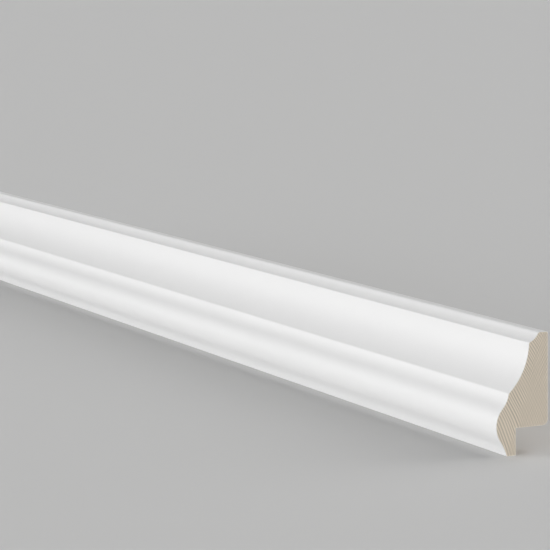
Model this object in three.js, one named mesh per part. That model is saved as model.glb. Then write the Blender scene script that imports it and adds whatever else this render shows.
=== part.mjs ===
// A dado rail: a length of moulded and painted timber, rebated at its lower back to cap a wall panel.
// Units are millimetres. +X runs along the rail, the moulded face looks along -Y and +Z is up.
// The origin is on the flat back face, at mid-length and mid-height.
import * as THREE from "three";

// Driving dimensions of the rail
const LENGTH = 850;
const HEIGHT = 58;
const DEPTH = 28;

// Marks on the section: a depth is forward of the back face, a height is above the underside of the lip
const TOP_LEDGE_DEPTH = 5.2;
const UPPER_ARRIS_DEPTH = 10.35;
const UPPER_ARRIS_HEIGHT = 53.3;
const LOWER_ARRIS_DEPTH = 21.3;
const LOWER_ARRIS_HEIGHT = 30;
const BULGE_HEIGHT = 14.4;
const LIP_FRONT_DEPTH = 22.4;
const REBATE_DEPTH = 17.4;
const REBATE_HEIGHT = 13.2;

// Radii of the moulding's curves and of the two rounded back corners
const CAVETTO_RADIUS = 9;
const COVE_RADIUS = 32.5;
const NECK_RADIUS = 12;
const BULGE_RADIUS = 12.7;
const FOOT_RADIUS = 21;
const BACK_TOP_RADIUS = 1;
const BACK_FOOT_RADIUS = 3;

// How far a facet may stray from its curve
const FACET_ERROR = 0.01;

// White satin paint
const PAINT_COLOUR = 0xf0f0ee;
const PAINT_ROUGHNESS = 0.42;

function mark(depth, height) {
  return new THREE.Vector2(depth, height);
}

// The crossing of two circles that lies to the left of the way from the first centre to the second
function circlesMeet(first, firstRadius, second, secondRadius) {
  const way = second.clone().sub(first);
  const gap = way.length();
  way.divideScalar(gap);
  const along = (gap ** 2 + firstRadius ** 2 - secondRadius ** 2) / (2 * gap);
  const aside = Math.sqrt(firstRadius ** 2 - along ** 2);
  const left = new THREE.Vector2(-way.y, way.x);
  return first.clone().addScaledVector(way, along).addScaledVector(left, aside);
}

// The point where a circle touches another one whose centre is given
function touchPoint(centre, radius, otherCentre) {
  return otherCentre.clone().sub(centre).setLength(radius).add(centre);
}

// Points along the short way round a circle, without the starting point
function arcPoints(centre, start, end) {
  const spoke = start.clone().sub(centre);
  const endSpoke = end.clone().sub(centre);
  const sweep = Math.atan2(spoke.cross(endSpoke), spoke.dot(endSpoke));
  const facetAngle = 2 * Math.acos(1 - FACET_ERROR / spoke.length());
  const steps = Math.ceil(Math.abs(sweep) / facetAngle);
  const points = [];
  for (let step = 1; step < steps; step += 1) {
    points.push(start.clone().rotateAround(centre, (sweep * step) / steps));
  }
  points.push(end);
  return points;
}

// The moulded face, from the front edge of the top ledge down to the underside of the lip
function mouldedFace() {
  const ledgeFront = mark(TOP_LEDGE_DEPTH, HEIGHT);
  const upperArris = mark(UPPER_ARRIS_DEPTH, UPPER_ARRIS_HEIGHT);
  const lowerArris = mark(LOWER_ARRIS_DEPTH, LOWER_ARRIS_HEIGHT);
  const lipFront = mark(LIP_FRONT_DEPTH, 0);

  // Two hollows that meet in crisp arrises
  const cavetto = circlesMeet(ledgeFront, CAVETTO_RADIUS, upperArris, CAVETTO_RADIUS);
  const cove = circlesMeet(upperArris, COVE_RADIUS, lowerArris, COVE_RADIUS);

  // An S curve: a hollow neck, the bulge that is the rail's foremost part, and a hollow foot
  const bulge = mark(DEPTH - BULGE_RADIUS, BULGE_HEIGHT);
  const neck = circlesMeet(lowerArris, NECK_RADIUS, bulge, NECK_RADIUS + BULGE_RADIUS);
  const foot = circlesMeet(bulge, FOOT_RADIUS + BULGE_RADIUS, lipFront, FOOT_RADIUS);
  const bulgeTop = touchPoint(bulge, BULGE_RADIUS, neck);
  const bulgeBottom = touchPoint(bulge, BULGE_RADIUS, foot);

  return [
    ledgeFront,
    ...arcPoints(cavetto, ledgeFront, upperArris),
    ...arcPoints(cove, upperArris, lowerArris),
    ...arcPoints(neck, lowerArris, bulgeTop),
    ...arcPoints(bulge, bulgeTop, bulgeBottom),
    ...arcPoints(foot, bulgeBottom, lipFront),
  ];
}

// The hidden side, from the lip's underside up through the rebate and the back face to the top ledge
function rebateAndBack() {
  const footCentre = mark(BACK_FOOT_RADIUS, REBATE_HEIGHT + BACK_FOOT_RADIUS);
  const footStart = mark(BACK_FOOT_RADIUS, REBATE_HEIGHT);
  const footEnd = mark(0, REBATE_HEIGHT + BACK_FOOT_RADIUS);
  const topCentre = mark(BACK_TOP_RADIUS, HEIGHT - BACK_TOP_RADIUS);
  const topStart = mark(0, HEIGHT - BACK_TOP_RADIUS);
  const topEnd = mark(BACK_TOP_RADIUS, HEIGHT);
  return [
    mark(REBATE_DEPTH, 0),
    mark(REBATE_DEPTH, REBATE_HEIGHT),
    footStart,
    ...arcPoints(footCentre, footStart, footEnd),
    topStart,
    ...arcPoints(topCentre, topStart, topEnd),
  ];
}

// The rail is one length of timber: the section carried straight along X and cut square at both ends
function dadoRail() {
  const section = new THREE.Shape([...mouldedFace(), ...rebateAndBack()]);
  const geometry = new THREE.ExtrudeGeometry(section, { depth: LENGTH, steps: 1, bevelEnabled: false });
  const paint = new THREE.MeshStandardMaterial({
    color: PAINT_COLOUR,
    roughness: PAINT_ROUGHNESS,
    metalness: 0,
  });
  const rail = new THREE.Mesh(geometry, paint);
  rail.name = "dado_rail";

  // The section's depth turns to -Y, its height to +Z and the extrusion to -X
  const depthAxis = new THREE.Vector3(0, -1, 0);
  const heightAxis = new THREE.Vector3(0, 0, 1);
  const lengthAxis = new THREE.Vector3(-1, 0, 0);
  const turn = new THREE.Matrix4().makeBasis(depthAxis, heightAxis, lengthAxis);
  rail.quaternion.setFromRotationMatrix(turn);
  rail.position.set(LENGTH / 2, 0, -HEIGHT / 2);
  return rail;
}

const model = new THREE.Group();
model.add(dadoRail());

export default model;
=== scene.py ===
"""A dado rail in painted timber: a smooth white moulded face, two sawn ends and a bare planed back."""

import math

import bpy
from mathutils import Euler, Matrix, Vector
from mathutils.geometry import delaunay_2d_cdt


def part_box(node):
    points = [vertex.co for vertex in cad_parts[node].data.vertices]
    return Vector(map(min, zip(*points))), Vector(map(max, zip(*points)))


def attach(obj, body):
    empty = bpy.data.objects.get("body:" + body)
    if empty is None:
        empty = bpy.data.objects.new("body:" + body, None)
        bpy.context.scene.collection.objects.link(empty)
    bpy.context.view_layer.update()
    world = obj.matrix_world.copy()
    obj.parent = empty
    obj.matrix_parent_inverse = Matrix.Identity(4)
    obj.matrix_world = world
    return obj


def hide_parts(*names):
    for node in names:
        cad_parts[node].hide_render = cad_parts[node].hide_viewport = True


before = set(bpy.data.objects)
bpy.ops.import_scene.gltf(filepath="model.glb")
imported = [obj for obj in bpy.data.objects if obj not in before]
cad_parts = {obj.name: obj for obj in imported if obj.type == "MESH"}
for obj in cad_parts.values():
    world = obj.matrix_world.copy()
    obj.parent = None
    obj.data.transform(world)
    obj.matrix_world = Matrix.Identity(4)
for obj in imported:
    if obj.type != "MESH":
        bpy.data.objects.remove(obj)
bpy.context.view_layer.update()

MM = 0.001
RAIL_NODE = "dado_rail"
rail_low, rail_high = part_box(RAIL_NODE)
LENGTH = rail_high.x - rail_low.x
DEPTH = rail_high.y - rail_low.y
HEIGHT = rail_high.z - rail_low.z

# Marks on the section: a depth is forward of the back face, a height is above the underside of the lip
TOP_LEDGE_DEPTH = 5.2 * MM
UPPER_ARRIS_DEPTH = 10.35 * MM
UPPER_ARRIS_HEIGHT = 53.3 * MM
LOWER_ARRIS_DEPTH = 21.3 * MM
LOWER_ARRIS_HEIGHT = 30 * MM
BULGE_HEIGHT = 14.4 * MM
LIP_FRONT_DEPTH = 22.4 * MM
REBATE_DEPTH = 17.4 * MM
REBATE_HEIGHT = 13.2 * MM

# Radii of the moulding's curves and of the two rounded back corners
CAVETTO_RADIUS = 9 * MM
COVE_RADIUS = 32.5 * MM
NECK_RADIUS = 12 * MM
BULGE_RADIUS = 12.7 * MM
FOOT_RADIUS = 21 * MM
BACK_TOP_RADIUS = 1 * MM
BACK_FOOT_RADIUS = 3 * MM

# How finely the section is drawn, and how far paint and sanding soften each arris
FACET_ERROR = 0.002 * MM
FLAT_STEP = 2 * MM
ARRIS_EASE = 0.4 * MM
LEDGE_EASE = 1.0 * MM
LIP_EASE = 0.5 * MM
EASE_STEPS = 6
SUPPORT_GAP = 0.15 * MM
STATION_GAP = 8 * MM

# Sanding evens out the curve of the lower moulding over a short reach
SANDING_STEP = 0.3 * MM
SANDING_PASSES = 14

# The white film that the saw cut through, seen edge on round the painted part of each end. A mitred corner
# of it may reach this many times as far in as its sides
FILM_THICKNESS = 0.16 * MM
LONGEST_MITRE = 2

# Slack in lengths and places, and the angle in degrees past which an edge is shaded sharp
LENGTH_SLACK = 1e-12
PLACE_SLACK = 1e-9
WELD_DISTANCE = 0.002 * MM
SHARP_ANGLE = 35

# The triangulation keeps only what lies inside the outline
INSIDE_OUTLINE = 1

# Growth rings: long arcs round a pith that lies in front of the rail and below it. They are a pitch apart at
# the inner radius and closer further out, where each metre adds the narrowing to how many fit in one pitch
PITH_DEPTH = 125 * MM
PITH_HEIGHT = -34 * MM
INNER_RADIUS = 115 * MM
RING_PITCH = 1.31 * MM
RING_NARROWING = 5
RING_WIDTH_SWING = 0.12
RING_WIDTH_PERIOD = 5.3
RING_WANDERS = (
    # reach, wave number along the rail, wave number up the section, start of the wave
    (0.10 * MM, 9, 370, 0.4),
    (0.75 * MM, 17, 40, 1.9),
    (0.22 * MM, 58, 120, 4.1),
)
RING_RELIEF = 0.03 * MM
FAINT_RELIEF = 0.008 * MM
GRAIN_STEP_ACROSS = 0.27 * MM
GRAIN_STEP_ALONG = 1.3 * MM

# Summer wood comes in slowly and ends sharply, at these shares of a ring, and is paler in some years
SUMMER_COMES = (0.35, 0.65)
SUMMER_GOES = (1.0, 0.9)
PALEST_YEAR = 0.7
YEAR_SWING = 0.3

# On the sawn ends the rings fade out over this stretch, measured forward and, less, upward
RING_FADE_SLOPE = 0.28
RING_FADE_START = 23.5 * MM
RING_FADE_END = 27.5 * MM
RING_FADE_WANDER = 10 * MM

# Finishes of the rail's faces
PAINTED = 0
PLANED = 1
SAWN = 2

# The camera, measured from the photographed end, the back face and the underside of the lip
CAMERA_PAST_END = 1060.5 * MM
CAMERA_IN_FRONT = 630.6 * MM
CAMERA_ABOVE_LIP = 246.0 * MM
CAMERA_AZIMUTH = 65.22
CAMERA_DIP = 7.42
CAMERA_ROLL = -0.70
PHOTO_WIDTH_PX = 550
FOCAL_LENGTH_PX = 2638.9
SENSOR_WIDTH = 36
NEAREST_SEEN = 0.1
FURTHEST_SEEN = 100


def mark(depth, height):
    return Vector((depth, height))


def circles_meet(first, first_radius, second, second_radius):
    """The crossing of two circles that lies to the left of the way from the first centre to the second."""
    way = second - first
    gap = way.length
    way.normalize()
    along = (gap**2 + first_radius**2 - second_radius**2) / (2 * gap)
    aside = math.sqrt(first_radius**2 - along**2)
    return first + way * along + Vector((-way.y, way.x)) * aside


def touch_point(centre, radius, other_centre):
    """The point where a circle touches another one."""
    return centre + (other_centre - centre).normalized() * radius


def arc(centre, start, end):
    """Points along the short way round a circle, with both its ends."""
    spoke = start - centre
    end_spoke = end - centre
    sweep = math.atan2(spoke.cross(end_spoke), spoke.dot(end_spoke))
    facet_angle = 2 * math.acos(1 - FACET_ERROR / spoke.length)
    steps = math.ceil(abs(sweep) / facet_angle)
    return [centre + Matrix.Rotation(sweep * step / steps, 2) @ spoke for step in range(steps + 1)]


def straight(start, end):
    """Points along a straight side, with both its ends."""
    steps = max(1, round((end - start).length / FLAT_STEP))
    return [start.lerp(end, step / steps) for step in range(steps + 1)]


def moulding_stretches():
    """The sides of the section in order, from the rebate's inner corner round the back and over the face.
    Each is a finish, its points, and how far the corner at its end is softened."""
    inner_corner = mark(REBATE_DEPTH, REBATE_HEIGHT)
    foot_start = mark(BACK_FOOT_RADIUS, REBATE_HEIGHT)
    foot_end = mark(0, REBATE_HEIGHT + BACK_FOOT_RADIUS)
    round_start = mark(0, HEIGHT - BACK_TOP_RADIUS)
    round_end = mark(BACK_TOP_RADIUS, HEIGHT)
    ledge_front = mark(TOP_LEDGE_DEPTH, HEIGHT)
    upper_arris = mark(UPPER_ARRIS_DEPTH, UPPER_ARRIS_HEIGHT)
    lower_arris = mark(LOWER_ARRIS_DEPTH, LOWER_ARRIS_HEIGHT)
    lip_front = mark(LIP_FRONT_DEPTH, 0)
    lip_back = mark(REBATE_DEPTH, 0)

    cavetto = circles_meet(ledge_front, CAVETTO_RADIUS, upper_arris, CAVETTO_RADIUS)
    cove = circles_meet(upper_arris, COVE_RADIUS, lower_arris, COVE_RADIUS)
    bulge = mark(DEPTH - BULGE_RADIUS, BULGE_HEIGHT)
    neck = circles_meet(lower_arris, NECK_RADIUS, bulge, NECK_RADIUS + BULGE_RADIUS)
    foot = circles_meet(bulge, FOOT_RADIUS + BULGE_RADIUS, lip_front, FOOT_RADIUS)
    bulge_top = touch_point(bulge, BULGE_RADIUS, neck)
    bulge_bottom = touch_point(bulge, BULGE_RADIUS, foot)
    ogee = arc(neck, lower_arris, bulge_top)
    ogee += arc(bulge, bulge_top, bulge_bottom)[1:]
    ogee += arc(foot, bulge_bottom, lip_front)[1:]

    return [
        (PLANED, straight(inner_corner, foot_start), 0),
        (PLANED, arc(foot_start + mark(0, BACK_FOOT_RADIUS), foot_start, foot_end), 0),
        (PLANED, straight(foot_end, round_start), 0),
        (PAINTED, arc(round_end - mark(0, BACK_TOP_RADIUS), round_start, round_end), 0),
        (PAINTED, straight(round_end, ledge_front), LEDGE_EASE),
        (PAINTED, arc(cavetto, ledge_front, upper_arris), ARRIS_EASE),
        (PAINTED, arc(cove, upper_arris, lower_arris), ARRIS_EASE),
        (PAINTED, sanded(ogee), LIP_EASE),
        (PAINTED, straight(lip_front, lip_back), LIP_EASE),
        (PLANED, straight(lip_back, inner_corner), 0),
    ]


def running_lengths(points):
    """How far along a row each of its points is."""
    marks = [0.0]
    for start, end in zip(points, points[1:]):
        marks.append(marks[-1] + (end - start).length)
    return marks


def point_along(points, marks, distance):
    """The point of a row at a distance from its start."""
    place = max(i for i, reached in enumerate(marks[:-1]) if reached <= distance + LENGTH_SLACK)
    share = (distance - marks[place]) / (marks[place + 1] - marks[place])
    return points[place].lerp(points[place + 1], share)


def sanded(points):
    """A row of points evened out over a short reach, so that one curve flows into the next."""
    marks = running_lengths(points)
    steps = round(marks[-1] / SANDING_STEP)
    row = [point_along(points, marks, marks[-1] * step / steps) for step in range(steps + 1)]
    for _ in range(SANDING_PASSES):
        inner = [(before + 2 * point + after) / 4 for before, point, after in zip(row, row[1:], row[2:])]
        row = [row[0], *inner, row[-1]]
    return row


def trimmed(points, start_cut, end_cut):
    """A row of points cut back at each end by a distance along it, with a support point beside each cut."""
    marks = running_lengths(points)
    length = marks[-1]
    first = start_cut + SUPPORT_GAP if start_cut else 0
    last = length - end_cut - SUPPORT_GAP if end_cut else length
    row = [point for point, reached in zip(points, marks) if first < reached < last]
    row = [point_along(points, marks, first), *row, point_along(points, marks, last)]
    if start_cut:
        row.insert(0, point_along(points, marks, start_cut))
    if end_cut:
        row.append(point_along(points, marks, length - end_cut))
    return row


def softened_corner(start, corner, end):
    """Points of the small curve that leads from one side into the next, without its ends."""
    points = []
    for step in range(1, EASE_STEPS):
        share = step / EASE_STEPS
        points.append(start.lerp(corner, share).lerp(corner.lerp(end, share), share))
    return points


def section_outline():
    """The closed section: its points in order, and the finish of the side that starts at each point."""
    stretches = moulding_stretches()
    rows = []
    start_cut = stretches[-1][2]
    for _, stretch, end_cut in stretches:
        rows.append(trimmed(stretch, start_cut, end_cut))
        start_cut = end_cut
    points, finishes = [], []
    for i, (finish, stretch, end_cut) in enumerate(stretches):
        row = rows[i]
        if end_cut:
            following = rows[(i + 1) % len(rows)]
            row = row + softened_corner(row[-1], stretch[-1], following[0])
        else:
            row = row[:-1]
        points += row
        finishes += [finish] * len(row)
    return points, finishes


def in_rail(point, x):
    """A point of the section, placed in the rail's own frame."""
    return Vector((x, rail_high.y - point.x, rail_low.z + point.y))


def ring_radius(x, depth, height):
    """Distance from the pith, with the slow wander that gives the grain its waves."""
    radius = math.hypot(depth - PITH_DEPTH, height - PITH_HEIGHT)
    for reach, along, up, start in RING_WANDERS:
        radius += reach * math.sin(along * x + up * height + start)
    return radius


def ring_place(radius):
    """Where a radius falls in its year's ring, from 0 at the start of spring to 1 at the end of summer."""
    beyond = radius - INNER_RADIUS
    count = (beyond + RING_NARROWING / 2 * beyond**2) / RING_PITCH
    count += RING_WIDTH_SWING * math.sin(count * 2 * math.pi / RING_WIDTH_PERIOD)
    return count % 1


def ring_relief(x, depth, height):
    """How deep the saw left the soft spring wood, which is less where the rings fade out."""
    early = 1 - ring_place(ring_radius(x, depth, height))
    forward = depth + RING_FADE_SLOPE * height + RING_FADE_WANDER / 2
    share = min(1, max(0, (forward - RING_FADE_START) / (RING_FADE_END - RING_FADE_START)))
    return early * (FAINT_RELIEF + (RING_RELIEF - FAINT_RELIEF) * share)


def inset_ring(points, distance):
    """The outline moved inwards, with its corners mitred."""
    moved = []
    for i, point in enumerate(points):
        before = (point - points[i - 1]).normalized()
        after = (points[(i + 1) % len(points)] - point).normalized()
        inward_before = Vector((before.y, -before.x))
        inward_after = Vector((after.y, -after.x))
        middle = (inward_before + inward_after).normalized()
        moved.append(point + middle * (distance / max(1 / LONGEST_MITRE, middle.dot(inward_before))))
    return moved


def well_inside(point, outline, clearance):
    """True where a point is inside the outline and keeps a clearance to it."""
    if not (clearance < point.x < DEPTH - clearance and clearance < point.y < HEIGHT - clearance):
        return False
    inside = False
    for i, start in enumerate(outline):
        end = outline[(i + 1) % len(outline)]
        if (start.y > point.y) != (end.y > point.y):
            crossing = start.x + (point.y - start.y) * (end.x - start.x) / (end.y - start.y)
            inside ^= point.x < crossing
        side = end - start
        share = min(1, max(0, (point - start).dot(side) / side.length_squared))
        if (start + side * share - point).length < clearance:
            return False
    return inside


def grain_points(outline):
    """Points inside an end face, in rows along the growth rings so that each ring has its own relief."""
    centre = mark(DEPTH / 2, HEIGHT / 2)
    to_pith = (mark(PITH_DEPTH, PITH_HEIGHT) - centre).normalized()
    along_ring = Vector((-to_pith.y, to_pith.x))
    across_count = math.ceil(HEIGHT / GRAIN_STEP_ACROSS)
    along_count = math.ceil(HEIGHT / GRAIN_STEP_ALONG)
    clearance = 2 * FILM_THICKNESS
    points = []
    for across in range(-across_count, across_count + 1):
        stagger = (across % 2) / 2
        for along in range(-along_count, along_count + 1):
            point = centre + to_pith * (across * GRAIN_STEP_ACROSS)
            point += along_ring * ((along + stagger) * GRAIN_STEP_ALONG)
            if well_inside(point, outline, clearance):
                points.append(point)
    return points


def new_object(name, data):
    piece = bpy.data.objects.new(name, data)
    bpy.context.scene.collection.objects.link(piece)
    return piece


def outline_piece(outline, finishes):
    """The section as a closed row of points, for the sweep to read."""
    mesh = bpy.data.meshes.new("section")
    sides = [(i, (i + 1) % len(outline)) for i in range(len(outline))]
    mesh.from_pydata([in_rail(point, 0) for point in outline], sides, [])
    finish = mesh.attributes.new("finish", "INT", "POINT")
    for i, value in enumerate(finishes):
        finish.data[i].value = value
    return new_object("section", mesh)


def end_piece(name, x, facing, outline, finishes):
    """A sawn end: a rim of cut paint film, and inside it the growth rings in slight relief."""
    count = len(outline)
    points = outline + inset_ring(outline, FILM_THICKNESS) + grain_points(outline)
    sides = [(i, (i + 1) % count) for i in range(count)]
    sides += [(count + i, count + (i + 1) % count) for i in range(count)]
    border = [list(range(count))]
    placed, _, faces, origins, _, _ = delaunay_2d_cdt(points, sides, border, INSIDE_OUTLINE, PLACE_SLACK)

    corners = []
    for point, origin in zip(placed, origins):
        recess = 0
        if origin and origin[0] >= count:
            recess = ring_relief(x, point.x, point.y)
        corners.append(in_rail(point, x - facing * recess))
    if facing > 0:
        faces = [tuple(reversed(face)) for face in faces]

    mesh = bpy.data.meshes.new(name)
    mesh.from_pydata(corners, [], faces)
    # Points on the outline and on the film's inner edge carry a painted highlight for the sawn timber
    highlight_share = mesh.attributes.new("edge_highlight", "FLOAT", "POINT")
    for i, origin in enumerate(origins):
        highlight_share.data[i].value = bool(origin) and origin[0] < 2 * count
    finish = mesh.attributes.new("finish", "INT", "FACE")
    for i, face in enumerate(faces):
        starts = [origins[corner][0] for corner in face if origins[corner]]
        on_edge = [start for start in starts if start < count]
        in_band = len(starts) == 3 and max(starts) < 2 * count and on_edge
        painted = in_band and finishes[on_edge[0]] == PAINTED
        finish.data[i].value = PAINTED if painted else SAWN
    return new_object(name, mesh)


def add_node(tree, kind, inputs=None, **options):
    """Adds a node, sets its options, and gives each named input a value or a socket to read from."""
    node = tree.nodes.new(kind)
    for option, value in options.items():
        setattr(node, option, value)
    for socket, value in (inputs or {}).items():
        if isinstance(value, bpy.types.NodeSocket):
            tree.links.new(value, node.inputs[socket])
        else:
            node.inputs[socket].default_value = value
    return node


def maths(tree, operation, *values):
    """A Math node, reading values or sockets."""
    return add_node(tree, "ShaderNodeMath", dict(enumerate(values)), operation=operation).outputs[0]


def whole_maths(tree, operation, first, second):
    """An Integer Math node, reading values or sockets."""
    return add_node(tree, "FunctionNodeIntegerMath", {0: first, 1: second}, operation=operation).outputs[0]


def read_section(tree, section, kind, value, point):
    """What the section holds in one of its points, given by number."""
    return add_node(
        tree,
        "GeometryNodeSampleIndex",
        {"Geometry": section, "Value": value, "Index": point},
        data_type=kind,
    ).outputs[0]


def sweep_tree():
    """Geometry Nodes that carry the section along the rail and close it with the two sawn ends."""
    tree = bpy.data.node_groups.new("swept_moulding", "GeometryNodeTree")
    sockets = (
        ("Section", "NodeSocketObject"),
        ("Near End", "NodeSocketObject"),
        ("Far End", "NodeSocketObject"),
        ("Start", "NodeSocketFloat"),
        ("Length", "NodeSocketFloat"),
        ("Stations", "NodeSocketInt"),
        ("Weld Distance", "NodeSocketFloat"),
        ("Paint", "NodeSocketMaterial"),
        ("Planed Timber", "NodeSocketMaterial"),
        ("Sawn Timber", "NodeSocketMaterial"),
    )
    tree.interface.new_socket("Geometry", in_out="INPUT", socket_type="NodeSocketGeometry")
    for name, kind in sockets:
        tree.interface.new_socket(name, in_out="INPUT", socket_type=kind)
    tree.interface.new_socket("Geometry", in_out="OUTPUT", socket_type="NodeSocketGeometry")
    given = tree.nodes.new("NodeGroupInput").outputs

    # A grid with one column for each station along the rail and one row for each side of the section
    section = add_node(tree, "GeometryNodeObjectInfo", {"Object": given["Section"]}).outputs["Geometry"]
    size = add_node(tree, "GeometryNodeAttributeDomainSize", {"Geometry": section}, component="MESH")
    sides = size.outputs["Point Count"]
    rows = whole_maths(tree, "ADD", sides, 1)
    grid = add_node(
        tree, "GeometryNodeMeshGrid", {"Vertices X": given["Stations"], "Vertices Y": rows}
    ).outputs["Mesh"]
    index = add_node(tree, "GeometryNodeInputIndex").outputs[0]

    # Each grid point takes its place on the section from its row, and along the rail from its column
    corner = whole_maths(tree, "MODULO", whole_maths(tree, "MODULO", index, rows), sides)
    place = add_node(tree, "GeometryNodeInputPosition").outputs[0]
    taken = read_section(tree, section, "FLOAT_VECTOR", place, corner)
    parts = add_node(tree, "ShaderNodeSeparateXYZ", {0: taken}).outputs
    station = whole_maths(tree, "DIVIDE_FLOOR", index, rows)
    gaps = whole_maths(tree, "SUBTRACT", given["Stations"], 1)
    share = maths(tree, "DIVIDE", station, gaps)
    x = maths(tree, "MULTIPLY_ADD", share, given["Length"], given["Start"])
    target = add_node(tree, "ShaderNodeCombineXYZ", {0: x, 1: parts[1], 2: parts[2]}).outputs[0]
    swept = add_node(tree, "GeometryNodeSetPosition", {"Geometry": grid, "Position": target}).outputs[0]

    # Each face takes the finish of the side that it was swept from
    side = whole_maths(tree, "MODULO", index, sides)
    own_finish = add_node(
        tree, "GeometryNodeInputNamedAttribute", {"Name": "finish"}, data_type="INT"
    ).outputs["Attribute"]
    side_finish = read_section(tree, section, "INT", own_finish, side)
    swept = add_node(
        tree,
        "GeometryNodeStoreNamedAttribute",
        {"Geometry": swept, "Name": "finish", "Value": side_finish},
        data_type="INT",
        domain="FACE",
    ).outputs[0]

    # The grid's faces are turned to point out of the timber, the ends are joined on and every seam is welded
    swept = add_node(tree, "GeometryNodeFlipFaces", {"Mesh": swept}).outputs[0]
    join = tree.nodes.new("GeometryNodeJoinGeometry")
    for end in ("Far End", "Near End"):
        closed = add_node(tree, "GeometryNodeObjectInfo", {"Object": given[end]}).outputs["Geometry"]
        tree.links.new(closed, join.inputs[0])
    tree.links.new(swept, join.inputs[0])
    solid = add_node(
        tree,
        "GeometryNodeMergeByDistance",
        {"Geometry": join.outputs[0], "Distance": given["Weld Distance"]},
    ).outputs[0]
    solid = add_node(tree, "GeometryNodeSetShadeSmooth", {"Geometry": solid}).outputs[0]
    solid = add_node(tree, "GeometryNodeRealizeInstances", {"Geometry": solid}).outputs[0]
    for finish, name in ((PAINTED, "Paint"), (PLANED, "Planed Timber"), (SAWN, "Sawn Timber")):
        chosen = add_node(
            tree, "FunctionNodeCompare", {2: own_finish, 3: finish}, data_type="INT", operation="EQUAL"
        ).outputs[0]
        solid = add_node(
            tree,
            "GeometryNodeSetMaterial",
            {"Geometry": solid, "Selection": chosen, "Material": given[name]},
        ).outputs[0]
    add_node(tree, "NodeGroupOutput", {0: solid})
    return tree


def sweep(inputs):
    """Runs the sweep with its named inputs and gives back the finished rail as a plain mesh."""
    tree = sweep_tree()
    carrier = new_object("sweep_carrier", bpy.data.meshes.new("sweep_carrier"))
    modifier = carrier.modifiers.new("sweep", "NODES")
    modifier.node_group = tree
    for item in tree.interface.items_tree:
        if item.in_out == "INPUT" and item.name in inputs:
            modifier[item.identifier] = inputs[item.name]
    evaluated = carrier.evaluated_get(bpy.context.evaluated_depsgraph_get())
    mesh = bpy.data.meshes.new_from_object(evaluated)
    carrier.modifiers.remove(modifier)
    bpy.data.objects.remove(carrier)
    return mesh


def make_rail():
    """The whole rail: one length of timber, painted on the face, planed behind and sawn at both ends."""
    outline, finishes = section_outline()
    section = outline_piece(outline, finishes)
    near_end = end_piece("near_end", rail_high.x, 1, outline, finishes)
    far_end = end_piece("far_end", rail_low.x, -1, outline, finishes)
    mesh = sweep(
        {
            "Section": section,
            "Near End": near_end,
            "Far End": far_end,
            "Start": rail_low.x,
            "Length": LENGTH,
            "Stations": round(LENGTH / STATION_GAP) + 1,
            "Weld Distance": WELD_DISTANCE,
            "Paint": white_paint(),
            "Planed Timber": planed_timber(),
            "Sawn Timber": sawn_timber(),
        }
    )
    for helper in (section, near_end, far_end):
        bpy.data.objects.remove(helper)
    mesh.set_sharp_from_angle(angle=math.radians(SHARP_ANGLE))
    return new_object("moulded_rail", mesh)


def noise(tree, vector, cells, detail=2.0, roughness=0.5):
    """A random pattern, with so many cells for each metre along each axis."""
    stretched = add_node(
        tree, "ShaderNodeVectorMath", {0: vector, 1: cells}, operation="MULTIPLY"
    ).outputs[0]
    return add_node(
        tree,
        "ShaderNodeTexNoise",
        {"Vector": stretched, "Scale": 1, "Detail": detail, "Roughness": roughness},
    ).outputs[0]


def smooth_step(tree, value, start, end):
    """0 up to the start, 1 past the end, and a smooth change between. The start may be the higher one."""
    return add_node(
        tree,
        "ShaderNodeMapRange",
        {"Value": value, "From Min": start, "From Max": end},
        interpolation_type="SMOOTHSTEP",
    ).outputs[0]


def blend(tree, share, first, second):
    """A colour between two others, each of them a plain colour or a socket."""
    inputs = {0: share}
    for socket, colour in ((6, first), (7, second)):
        inputs[socket] = (*colour, 1) if isinstance(colour, tuple) else colour
    return add_node(tree, "ShaderNodeMix", inputs, data_type="RGBA").outputs[2]


def shaded(tree, colour, shade):
    """A colour made darker or lighter by a factor."""
    return add_node(
        tree, "ShaderNodeVectorMath", {0: colour, "Scale": shade}, operation="SCALE"
    ).outputs[0]


def place_in_timber(tree, place):
    """How far a place is along the rail, forward of the back face and above the underside of the lip."""
    x, y, z = add_node(tree, "ShaderNodeSeparateXYZ", {0: place}).outputs
    return x, maths(tree, "SUBTRACT", rail_high.y, y), maths(tree, "SUBTRACT", z, rail_low.z)


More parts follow.
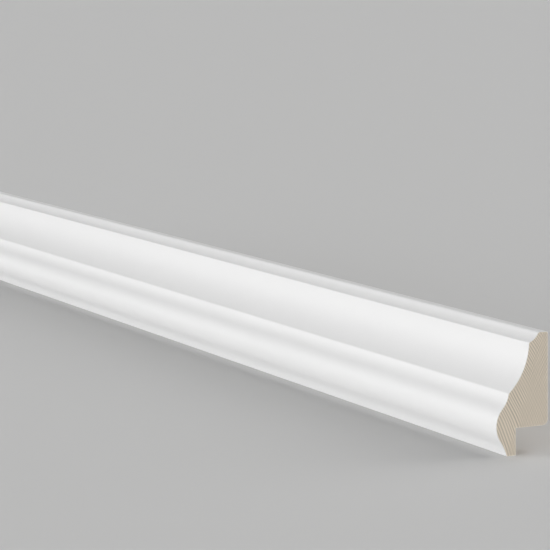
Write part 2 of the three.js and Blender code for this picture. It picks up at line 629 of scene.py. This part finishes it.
def ring_group():
    """Growth rings in the timber: how much of each place is dark summer wood."""
    group = bpy.data.node_groups.new("growth_rings", "ShaderNodeTree")
    group.interface.new_socket("Vector", in_out="INPUT", socket_type="NodeSocketVector")
    sizes = (
        ("Pith Depth", PITH_DEPTH),
        ("Pith Height", PITH_HEIGHT),
        ("Inner Radius", INNER_RADIUS),
        ("Pitch", RING_PITCH),
    )
    for name, value in sizes:
        socket = group.interface.new_socket(name, in_out="INPUT", socket_type="NodeSocketFloat")
        socket.default_value = value
    group.interface.new_socket("Summer Wood", in_out="OUTPUT", socket_type="NodeSocketFloat")
    given = group.nodes.new("NodeGroupInput").outputs

    # The distance from the pith, with its wander
    x, depth, height = place_in_timber(group, given["Vector"])
    across = maths(group, "POWER", maths(group, "SUBTRACT", depth, given["Pith Depth"]), 2)
    up = maths(group, "POWER", maths(group, "SUBTRACT", height, given["Pith Height"]), 2)
    radius = maths(group, "SQRT", maths(group, "ADD", across, up))
    for reach, along_wave, up_wave, start in RING_WANDERS:
        angle = maths(group, "MULTIPLY_ADD", x, along_wave, start)
        angle = maths(group, "MULTIPLY_ADD", height, up_wave, angle)
        radius = maths(group, "MULTIPLY_ADD", maths(group, "SINE", angle), reach, radius)

    # The number of rings out from the inner radius, and the place within the last of them
    beyond = maths(group, "SUBTRACT", radius, given["Inner Radius"])
    squared = maths(group, "MULTIPLY", beyond, beyond)
    count = maths(group, "MULTIPLY_ADD", squared, RING_NARROWING / 2, beyond)
    count = maths(group, "DIVIDE", count, given["Pitch"])
    swing = maths(group, "SINE", maths(group, "MULTIPLY", count, 2 * math.pi / RING_WIDTH_PERIOD))
    count = maths(group, "MULTIPLY_ADD", swing, RING_WIDTH_SWING, count)
    ring = maths(group, "FRACT", count)
    year = add_node(
        group, "ShaderNodeTexWhiteNoise", {"W": maths(group, "FLOOR", count)}, noise_dimensions="1D"
    ).outputs["Value"]
    rise = smooth_step(group, ring, *SUMMER_COMES)
    fall = smooth_step(group, ring, *SUMMER_GOES)
    strength = maths(group, "MULTIPLY_ADD", year, YEAR_SWING, PALEST_YEAR)
    summer = maths(group, "MULTIPLY", maths(group, "MULTIPLY", rise, fall), strength)
    add_node(group, "NodeGroupOutput", {"Summer Wood": summer})
    return group


GROWTH_RINGS = ring_group()


def summer_wood(tree, place):
    """The shared growth rings, read at a material's own coordinates."""
    return add_node(tree, "ShaderNodeGroup", {"Vector": place}, node_tree=GROWTH_RINGS).outputs[0]


def new_material(name, ior):
    """A material with an empty tree but for its shader, and the object's own coordinates."""
    material = bpy.data.materials.new(name)
    material.use_nodes = True
    tree = material.node_tree
    shader = tree.nodes["Principled BSDF"]
    shader.inputs["IOR"].default_value = ior
    place = tree.nodes.new("ShaderNodeTexCoord").outputs["Object"]
    return material, tree, shader, place


def finish_surface(tree, shader, colour, roughness, height, distance):
    """Feeds the varying colour, roughness and height of a surface to its shader."""
    tree.links.new(colour, shader.inputs["Base Color"])
    tree.links.new(roughness, shader.inputs["Roughness"])
    bump = add_node(tree, "ShaderNodeBump", {"Height": height, "Distance": distance, "Strength": 1})
    tree.links.new(bump.outputs["Normal"], shader.inputs["Normal"])


# In the finishes below, cells say how fine a noise pattern is: how many fit in a metre along each axis.
# A swing is the most that a pattern adds to the least value. A rise is how much of it goes into the bump.
# An edge is the pair of values between which a pattern goes from nothing to its full strength
FINE_DETAIL = 3.0
FINE_ROUGHNESS = 0.6

# White paint: its colour and mottle, its orange peel, and the streaks and rings that show through it
PAINT_COLOUR = (0.84, 0.84, 0.84)
PAINT_SHADE = (0.832, 0.832, 0.832)
PAINT_IOR = 1.5
PAINT_ROUGHNESS_LEAST = 0.36
PAINT_ROUGHNESS_SWING = 0.08
PAINT_BUMP = 0.005 * MM
MOTTLE_CELLS = (25, 60, 60)
MOTTLE_EDGE = (0.3, 0.8)
PEEL_CELLS = (700, 900, 900)
PEEL_DETAIL = 1.0
STREAK_CELLS = (12, 1400, 1400)
STREAK_RISE = 0.5
PAINTED_RING_RISE = 0.3


def white_paint():
    """Satin white paint, sprayed: a faint orange peel, and the grain just showing under it."""
    material, tree, shader, place = new_material("white_paint", PAINT_IOR)
    peel = noise(tree, place, PEEL_CELLS, detail=PEEL_DETAIL)
    streaks = noise(tree, place, STREAK_CELLS)
    mottle = noise(tree, place, MOTTLE_CELLS)
    height = maths(tree, "MULTIPLY_ADD", streaks, STREAK_RISE, peel)
    height = maths(tree, "MULTIPLY_ADD", summer_wood(tree, place), PAINTED_RING_RISE, height)
    roughness = maths(tree, "MULTIPLY_ADD", mottle, PAINT_ROUGHNESS_SWING, PAINT_ROUGHNESS_LEAST)
    colour = blend(tree, smooth_step(tree, mottle, *MOTTLE_EDGE), PAINT_COLOUR, PAINT_SHADE)
    finish_surface(tree, shader, colour, roughness, height, PAINT_BUMP)
    return material


# Planed timber: spring and summer wood seen along the grain, and the fibres that shade them
SPRING_LONG = (0.71, 0.59, 0.43)
SUMMER_LONG = (0.52, 0.38, 0.24)
PLANED_IOR = 1.45
PLANED_ROUGHNESS = 0.62
PLANED_BUMP = 0.01 * MM
FIBRE_CELLS = (40, 2600, 2600)
FIBRE_SHADE_LEAST = 0.82
FIBRE_SHADE_SWING = 0.35
PROUD_SUMMER_RISE = 0.6

# The planer's knives: how far apart their ripples are
PLANER_PITCH = 1.7 * MM
RIPPLE_RISE = 0.1

# Paint that drifted past the painted edges: how far it reaches, and its specks and the clouds they fall in
DRIFT_REACH = 2.5 * MM
DRIFT_THINNING = 0.6
DRIFT_EDGE = (0.34, 0.56)
DRIFT_GLOSS = 0.12
SPECK_CELLS = (1800, 3200, 3200)
CLOUD_CELLS = (45, 45, 45)
CLOUD_SHARE = 0.5


def planed_timber():
    """Bare planed pine on the back and in the rebate, with a little paint drifted over its edges."""
    material, tree, shader, place = new_material("planed_timber", PLANED_IOR)
    summer = summer_wood(tree, place)
    fibres = noise(tree, place, FIBRE_CELLS, detail=FINE_DETAIL, roughness=FINE_ROUGHNESS)
    shade = maths(tree, "MULTIPLY_ADD", fibres, FIBRE_SHADE_SWING, FIBRE_SHADE_LEAST)
    colour = shaded(tree, blend(tree, summer, SPRING_LONG, SUMMER_LONG), shade)

    # Paint that drifted past the top edge and the lip, as fine specks that thin out
    x, _, z = add_node(tree, "ShaderNodeSeparateXYZ", {0: place}).outputs
    below_top = maths(tree, "SUBTRACT", rail_high.z, z)
    above_lip = maths(tree, "SUBTRACT", z, rail_low.z)
    nearest = maths(tree, "MINIMUM", below_top, above_lip)
    specks = noise(tree, place, SPECK_CELLS, detail=FINE_DETAIL, roughness=FINE_ROUGHNESS)
    clouds = noise(tree, place, CLOUD_CELLS)
    density = maths(tree, "MULTIPLY_ADD", clouds, CLOUD_SHARE, specks)
    density = maths(tree, "MULTIPLY_ADD", nearest, -DRIFT_THINNING / DRIFT_REACH, density)
    drift = smooth_step(tree, density, *DRIFT_EDGE)
    colour = blend(tree, drift, colour, PAINT_COLOUR)
    roughness = maths(tree, "MULTIPLY_ADD", drift, -DRIFT_GLOSS, PLANED_ROUGHNESS)

    # The planer left shallow ripples across the grain, and the summer wood stands a little proud
    ripples = maths(tree, "SINE", maths(tree, "MULTIPLY", x, 2 * math.pi / PLANER_PITCH))
    height = maths(tree, "MULTIPLY_ADD", summer, PROUD_SUMMER_RISE, fibres)
    height = maths(tree, "MULTIPLY_ADD", ripples, RIPPLE_RISE, height)
    finish_surface(tree, shader, colour, roughness, height, PLANED_BUMP)
    return material


# Sawn timber: spring and summer wood seen end on, with a fine speckle and paler and darker patches
SPRING_END = (0.745, 0.66, 0.545)
SUMMER_END = (0.462, 0.409, 0.337)
SAWN_IOR = 1.4
SAWN_ROUGHNESS_LEAST = 0.75
SAWN_ROUGHNESS_SWING = 0.1
SAWN_BUMP = 0.012 * MM
SPECKLE_CELLS = (900, 5200, 5200)
SPECKLE_SHADE_LEAST = 0.92
SPECKLE_SHADE_SWING = 0.16
PATCH_CELLS = (30, 110, 110)
PATCH_SHADE_SWING = 0.04

# How crisp the rings are: at the least, how much more at the front, and what the faint band keeps of that
CRISPNESS_LEAST = 0.2
CRISPNESS_SWING = 0.75
FAINT_BAND_HEIGHT = 34.5 * MM
FAINT_BAND_REACH = 6 * MM
FAINT_BAND_LEFT = 0.25

# A place with the mean amount of summer wood takes this share of its colour, and so do all where rings fade
MEAN_SUMMER = 0.42
MEAN_SHARE = 0.5

# Strokes of the saw across the ends: how far apart, their lean from level, their wobble and where they bit
STROKE_PITCH = 1.2 * MM
STROKE_LEAN = math.radians(62)
STROKE_WOBBLE = 8
STROKE_SHADE = 0.13
STROKE_RISE = 0.15
BITE_CELLS = (700, 110, 1)
BITE_EDGE = (0.3, 0.65)
UPPER_STROKES = (28 * MM, 40 * MM)
LOWER_STROKES_LEFT = 0.4

# Painted highlight: the sawn ends are paler along the edge of the cut, standing in for light caught by that
# edge
EDGE_HIGHLIGHT_COLOUR = (0.80, 0.75, 0.67)
EDGE_HIGHLIGHT_SHARE = 0.5


def sawn_timber():
    """End grain left by a fine saw: close growth rings towards the face, and faint strokes behind."""
    material, tree, shader, place = new_material("sawn_timber", SAWN_IOR)
    speckle = noise(tree, place, SPECKLE_CELLS, roughness=FINE_ROUGHNESS)
    patches = noise(tree, place, PATCH_CELLS)

    # The rings are crisp near the moulded face, fade towards the back and are faint in a band higher up
    _, depth, height = place_in_timber(tree, place)
    forward = maths(tree, "MULTIPLY_ADD", height, RING_FADE_SLOPE, depth)
    forward = maths(tree, "MULTIPLY_ADD", patches, RING_FADE_WANDER, forward)
    front = smooth_step(tree, forward, RING_FADE_START, RING_FADE_END)
    from_band = maths(tree, "ABSOLUTE", maths(tree, "SUBTRACT", height, FAINT_BAND_HEIGHT))
    clear = smooth_step(tree, from_band, 0, FAINT_BAND_REACH)
    clear = maths(tree, "MULTIPLY_ADD", clear, 1 - FAINT_BAND_LEFT, FAINT_BAND_LEFT)
    crispness = maths(tree, "MULTIPLY", front, clear)
    crispness = maths(tree, "MULTIPLY_ADD", crispness, CRISPNESS_SWING, CRISPNESS_LEAST)
    darkness = maths(tree, "SUBTRACT", summer_wood(tree, place), MEAN_SUMMER)
    share = maths(tree, "MULTIPLY_ADD", darkness, crispness, MEAN_SHARE)
    colour = blend(tree, share, SPRING_END, SUMMER_END)

    # The strokes lean the other way from the rings, and show where the rings don't
    across = maths(tree, "MULTIPLY", depth, math.sin(STROKE_LEAN))
    across = maths(tree, "MULTIPLY_ADD", height, math.cos(STROKE_LEAN), across)
    along = maths(tree, "MULTIPLY", depth, -math.cos(STROKE_LEAN))
    along = maths(tree, "MULTIPLY_ADD", height, math.sin(STROKE_LEAN), along)
    run = add_node(tree, "ShaderNodeCombineXYZ", {0: across, 1: along}).outputs[0]
    bite = smooth_step(tree, noise(tree, run, BITE_CELLS), *BITE_EDGE)
    turn = maths(tree, "MULTIPLY", across, 2 * math.pi / STROKE_PITCH)
    strokes = maths(tree, "SINE", maths(tree, "MULTIPLY_ADD", patches, STROKE_WOBBLE, turn))
    strokes = maths(tree, "MULTIPLY", strokes, bite)
    behind = maths(tree, "SUBTRACT", 1, front)
    upper = smooth_step(tree, height, *UPPER_STROKES)
    upper = maths(tree, "MULTIPLY_ADD", upper, 1 - LOWER_STROKES_LEFT, LOWER_STROKES_LEFT)
    reach = maths(tree, "MULTIPLY", maths(tree, "MULTIPLY", behind, upper), STROKE_SHADE)

    # The speckle, the strokes and the patches shade the wood
    shade = maths(tree, "MULTIPLY_ADD", speckle, SPECKLE_SHADE_SWING, SPECKLE_SHADE_LEAST)
    shade = maths(tree, "MULTIPLY_ADD", strokes, reach, shade)
    shade = maths(tree, "SUBTRACT", shade, PATCH_SHADE_SWING / 2)
    shade = maths(tree, "MULTIPLY_ADD", patches, PATCH_SHADE_SWING, shade)
    colour = shaded(tree, colour, shade)

    # A painted highlight makes the sawn wood paler next to the edge of the cut
    highlight = add_node(tree, "ShaderNodeAttribute", attribute_name="edge_highlight").outputs["Fac"]
    colour = blend(tree, maths(tree, "MULTIPLY", highlight, EDGE_HIGHLIGHT_SHARE), colour, EDGE_HIGHLIGHT_COLOUR)
    roughness = maths(tree, "MULTIPLY_ADD", speckle, SAWN_ROUGHNESS_SWING, SAWN_ROUGHNESS_LEAST)
    height_map = maths(tree, "MULTIPLY_ADD", strokes, STROKE_RISE, speckle)
    finish_surface(tree, shader, colour, roughness, height_map, SAWN_BUMP)
    return material


def add_camera():
    """The photograph's viewpoint: a long lens past the right-hand end, a little above the rail."""
    lens = bpy.data.cameras.new("camera")
    lens.sensor_width = SENSOR_WIDTH
    lens.lens = FOCAL_LENGTH_PX / PHOTO_WIDTH_PX * SENSOR_WIDTH
    lens.clip_start = NEAREST_SEEN
    lens.clip_end = FURTHEST_SEEN
    camera = new_object("camera", lens)
    stand = Vector(
        (rail_high.x + CAMERA_PAST_END, rail_high.y - CAMERA_IN_FRONT, rail_low.z + CAMERA_ABOVE_LIP)
    )
    aim = Euler((math.radians(90 - CAMERA_DIP), 0, math.radians(CAMERA_AZIMUTH))).to_matrix()
    roll = Matrix.Rotation(math.radians(CAMERA_ROLL), 3, "Z")
    camera.matrix_world = Matrix.Translation(stand) @ (aim @ roll).to_4x4()
    bpy.context.scene.camera = camera


# Each light: its name, its azimuth and elevation as seen from the rail (azimuth 0 is straight in front of
# the moulded face and 90 is off the photographed end), how wide a patch of sky it fills, and its strength
LIGHTS = (
    ("front_left", -40, 3, 50, 1.0),
    ("front", -20, 3, 50, 1.08),
    ("front_right", 28, 3, 50, 2.26),
    ("end", 90, 15, 50, 0.88),
    ("behind", 180, 20, 50, 0.6),
    ("above_front", 0, 60, 50, 0.17),
    ("above_behind", 180, 45, 60, 1.53),
)
WORLD_STRENGTH = 0.1
BACKDROP_STRENGTH = 0.55
FLOOR_SIZE = 60
FLOOR_COLOUR = (0.6, 0.6, 0.597)
FLOOR_ROUGHNESS = 0.9


def add_lights():
    """Soft studio light: broad, distant lamps round and above the rail."""
    for name, azimuth, elevation, spread, strength in LIGHTS:
        lamp = bpy.data.lights.new(name, "SUN")
        lamp.angle = math.radians(spread)
        lamp.energy = strength
        light = new_object(name, lamp)
        light.rotation_euler = (math.radians(90 - elevation), 0, math.radians(azimuth))
    bpy.context.scene.view_settings.view_transform = "Standard"


def add_surround():
    """Faint light from all round, and a pale backdrop where a view reaches past the floor."""
    world = bpy.data.worlds.new("surround")
    world.use_nodes = True
    tree = world.node_tree
    background = tree.nodes["Background"]
    background.inputs["Color"].default_value = (1, 1, 1, 1)
    seen = tree.nodes.new("ShaderNodeLightPath").outputs["Is Camera Ray"]
    strength = maths(tree, "MULTIPLY_ADD", seen, BACKDROP_STRENGTH - WORLD_STRENGTH, WORLD_STRENGTH)
    tree.links.new(strength, background.inputs["Strength"])
    bpy.context.scene.world = world


def add_floor():
    """A plain pale floor, level with the underside of the lip."""
    half = FLOOR_SIZE / 2
    mesh = bpy.data.meshes.new("floor")
    corners = [(-half, -half), (half, -half), (half, half), (-half, half)]
    mesh.from_pydata([(x, y, rail_low.z) for x, y in corners], [], [(0, 1, 2, 3)])
    material = bpy.data.materials.new("floor")
    material.use_nodes = True
    shader = material.node_tree.nodes["Principled BSDF"]
    shader.inputs["Base Color"].default_value = (*FLOOR_COLOUR, 1)
    shader.inputs["Roughness"].default_value = FLOOR_ROUGHNESS
    mesh.materials.append(material)
    floor = new_object("floor", mesh)


add_camera()
add_lights()
add_surround()
add_floor()

rail = make_rail()
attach(rail, "root")
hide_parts(RAIL_NODE)
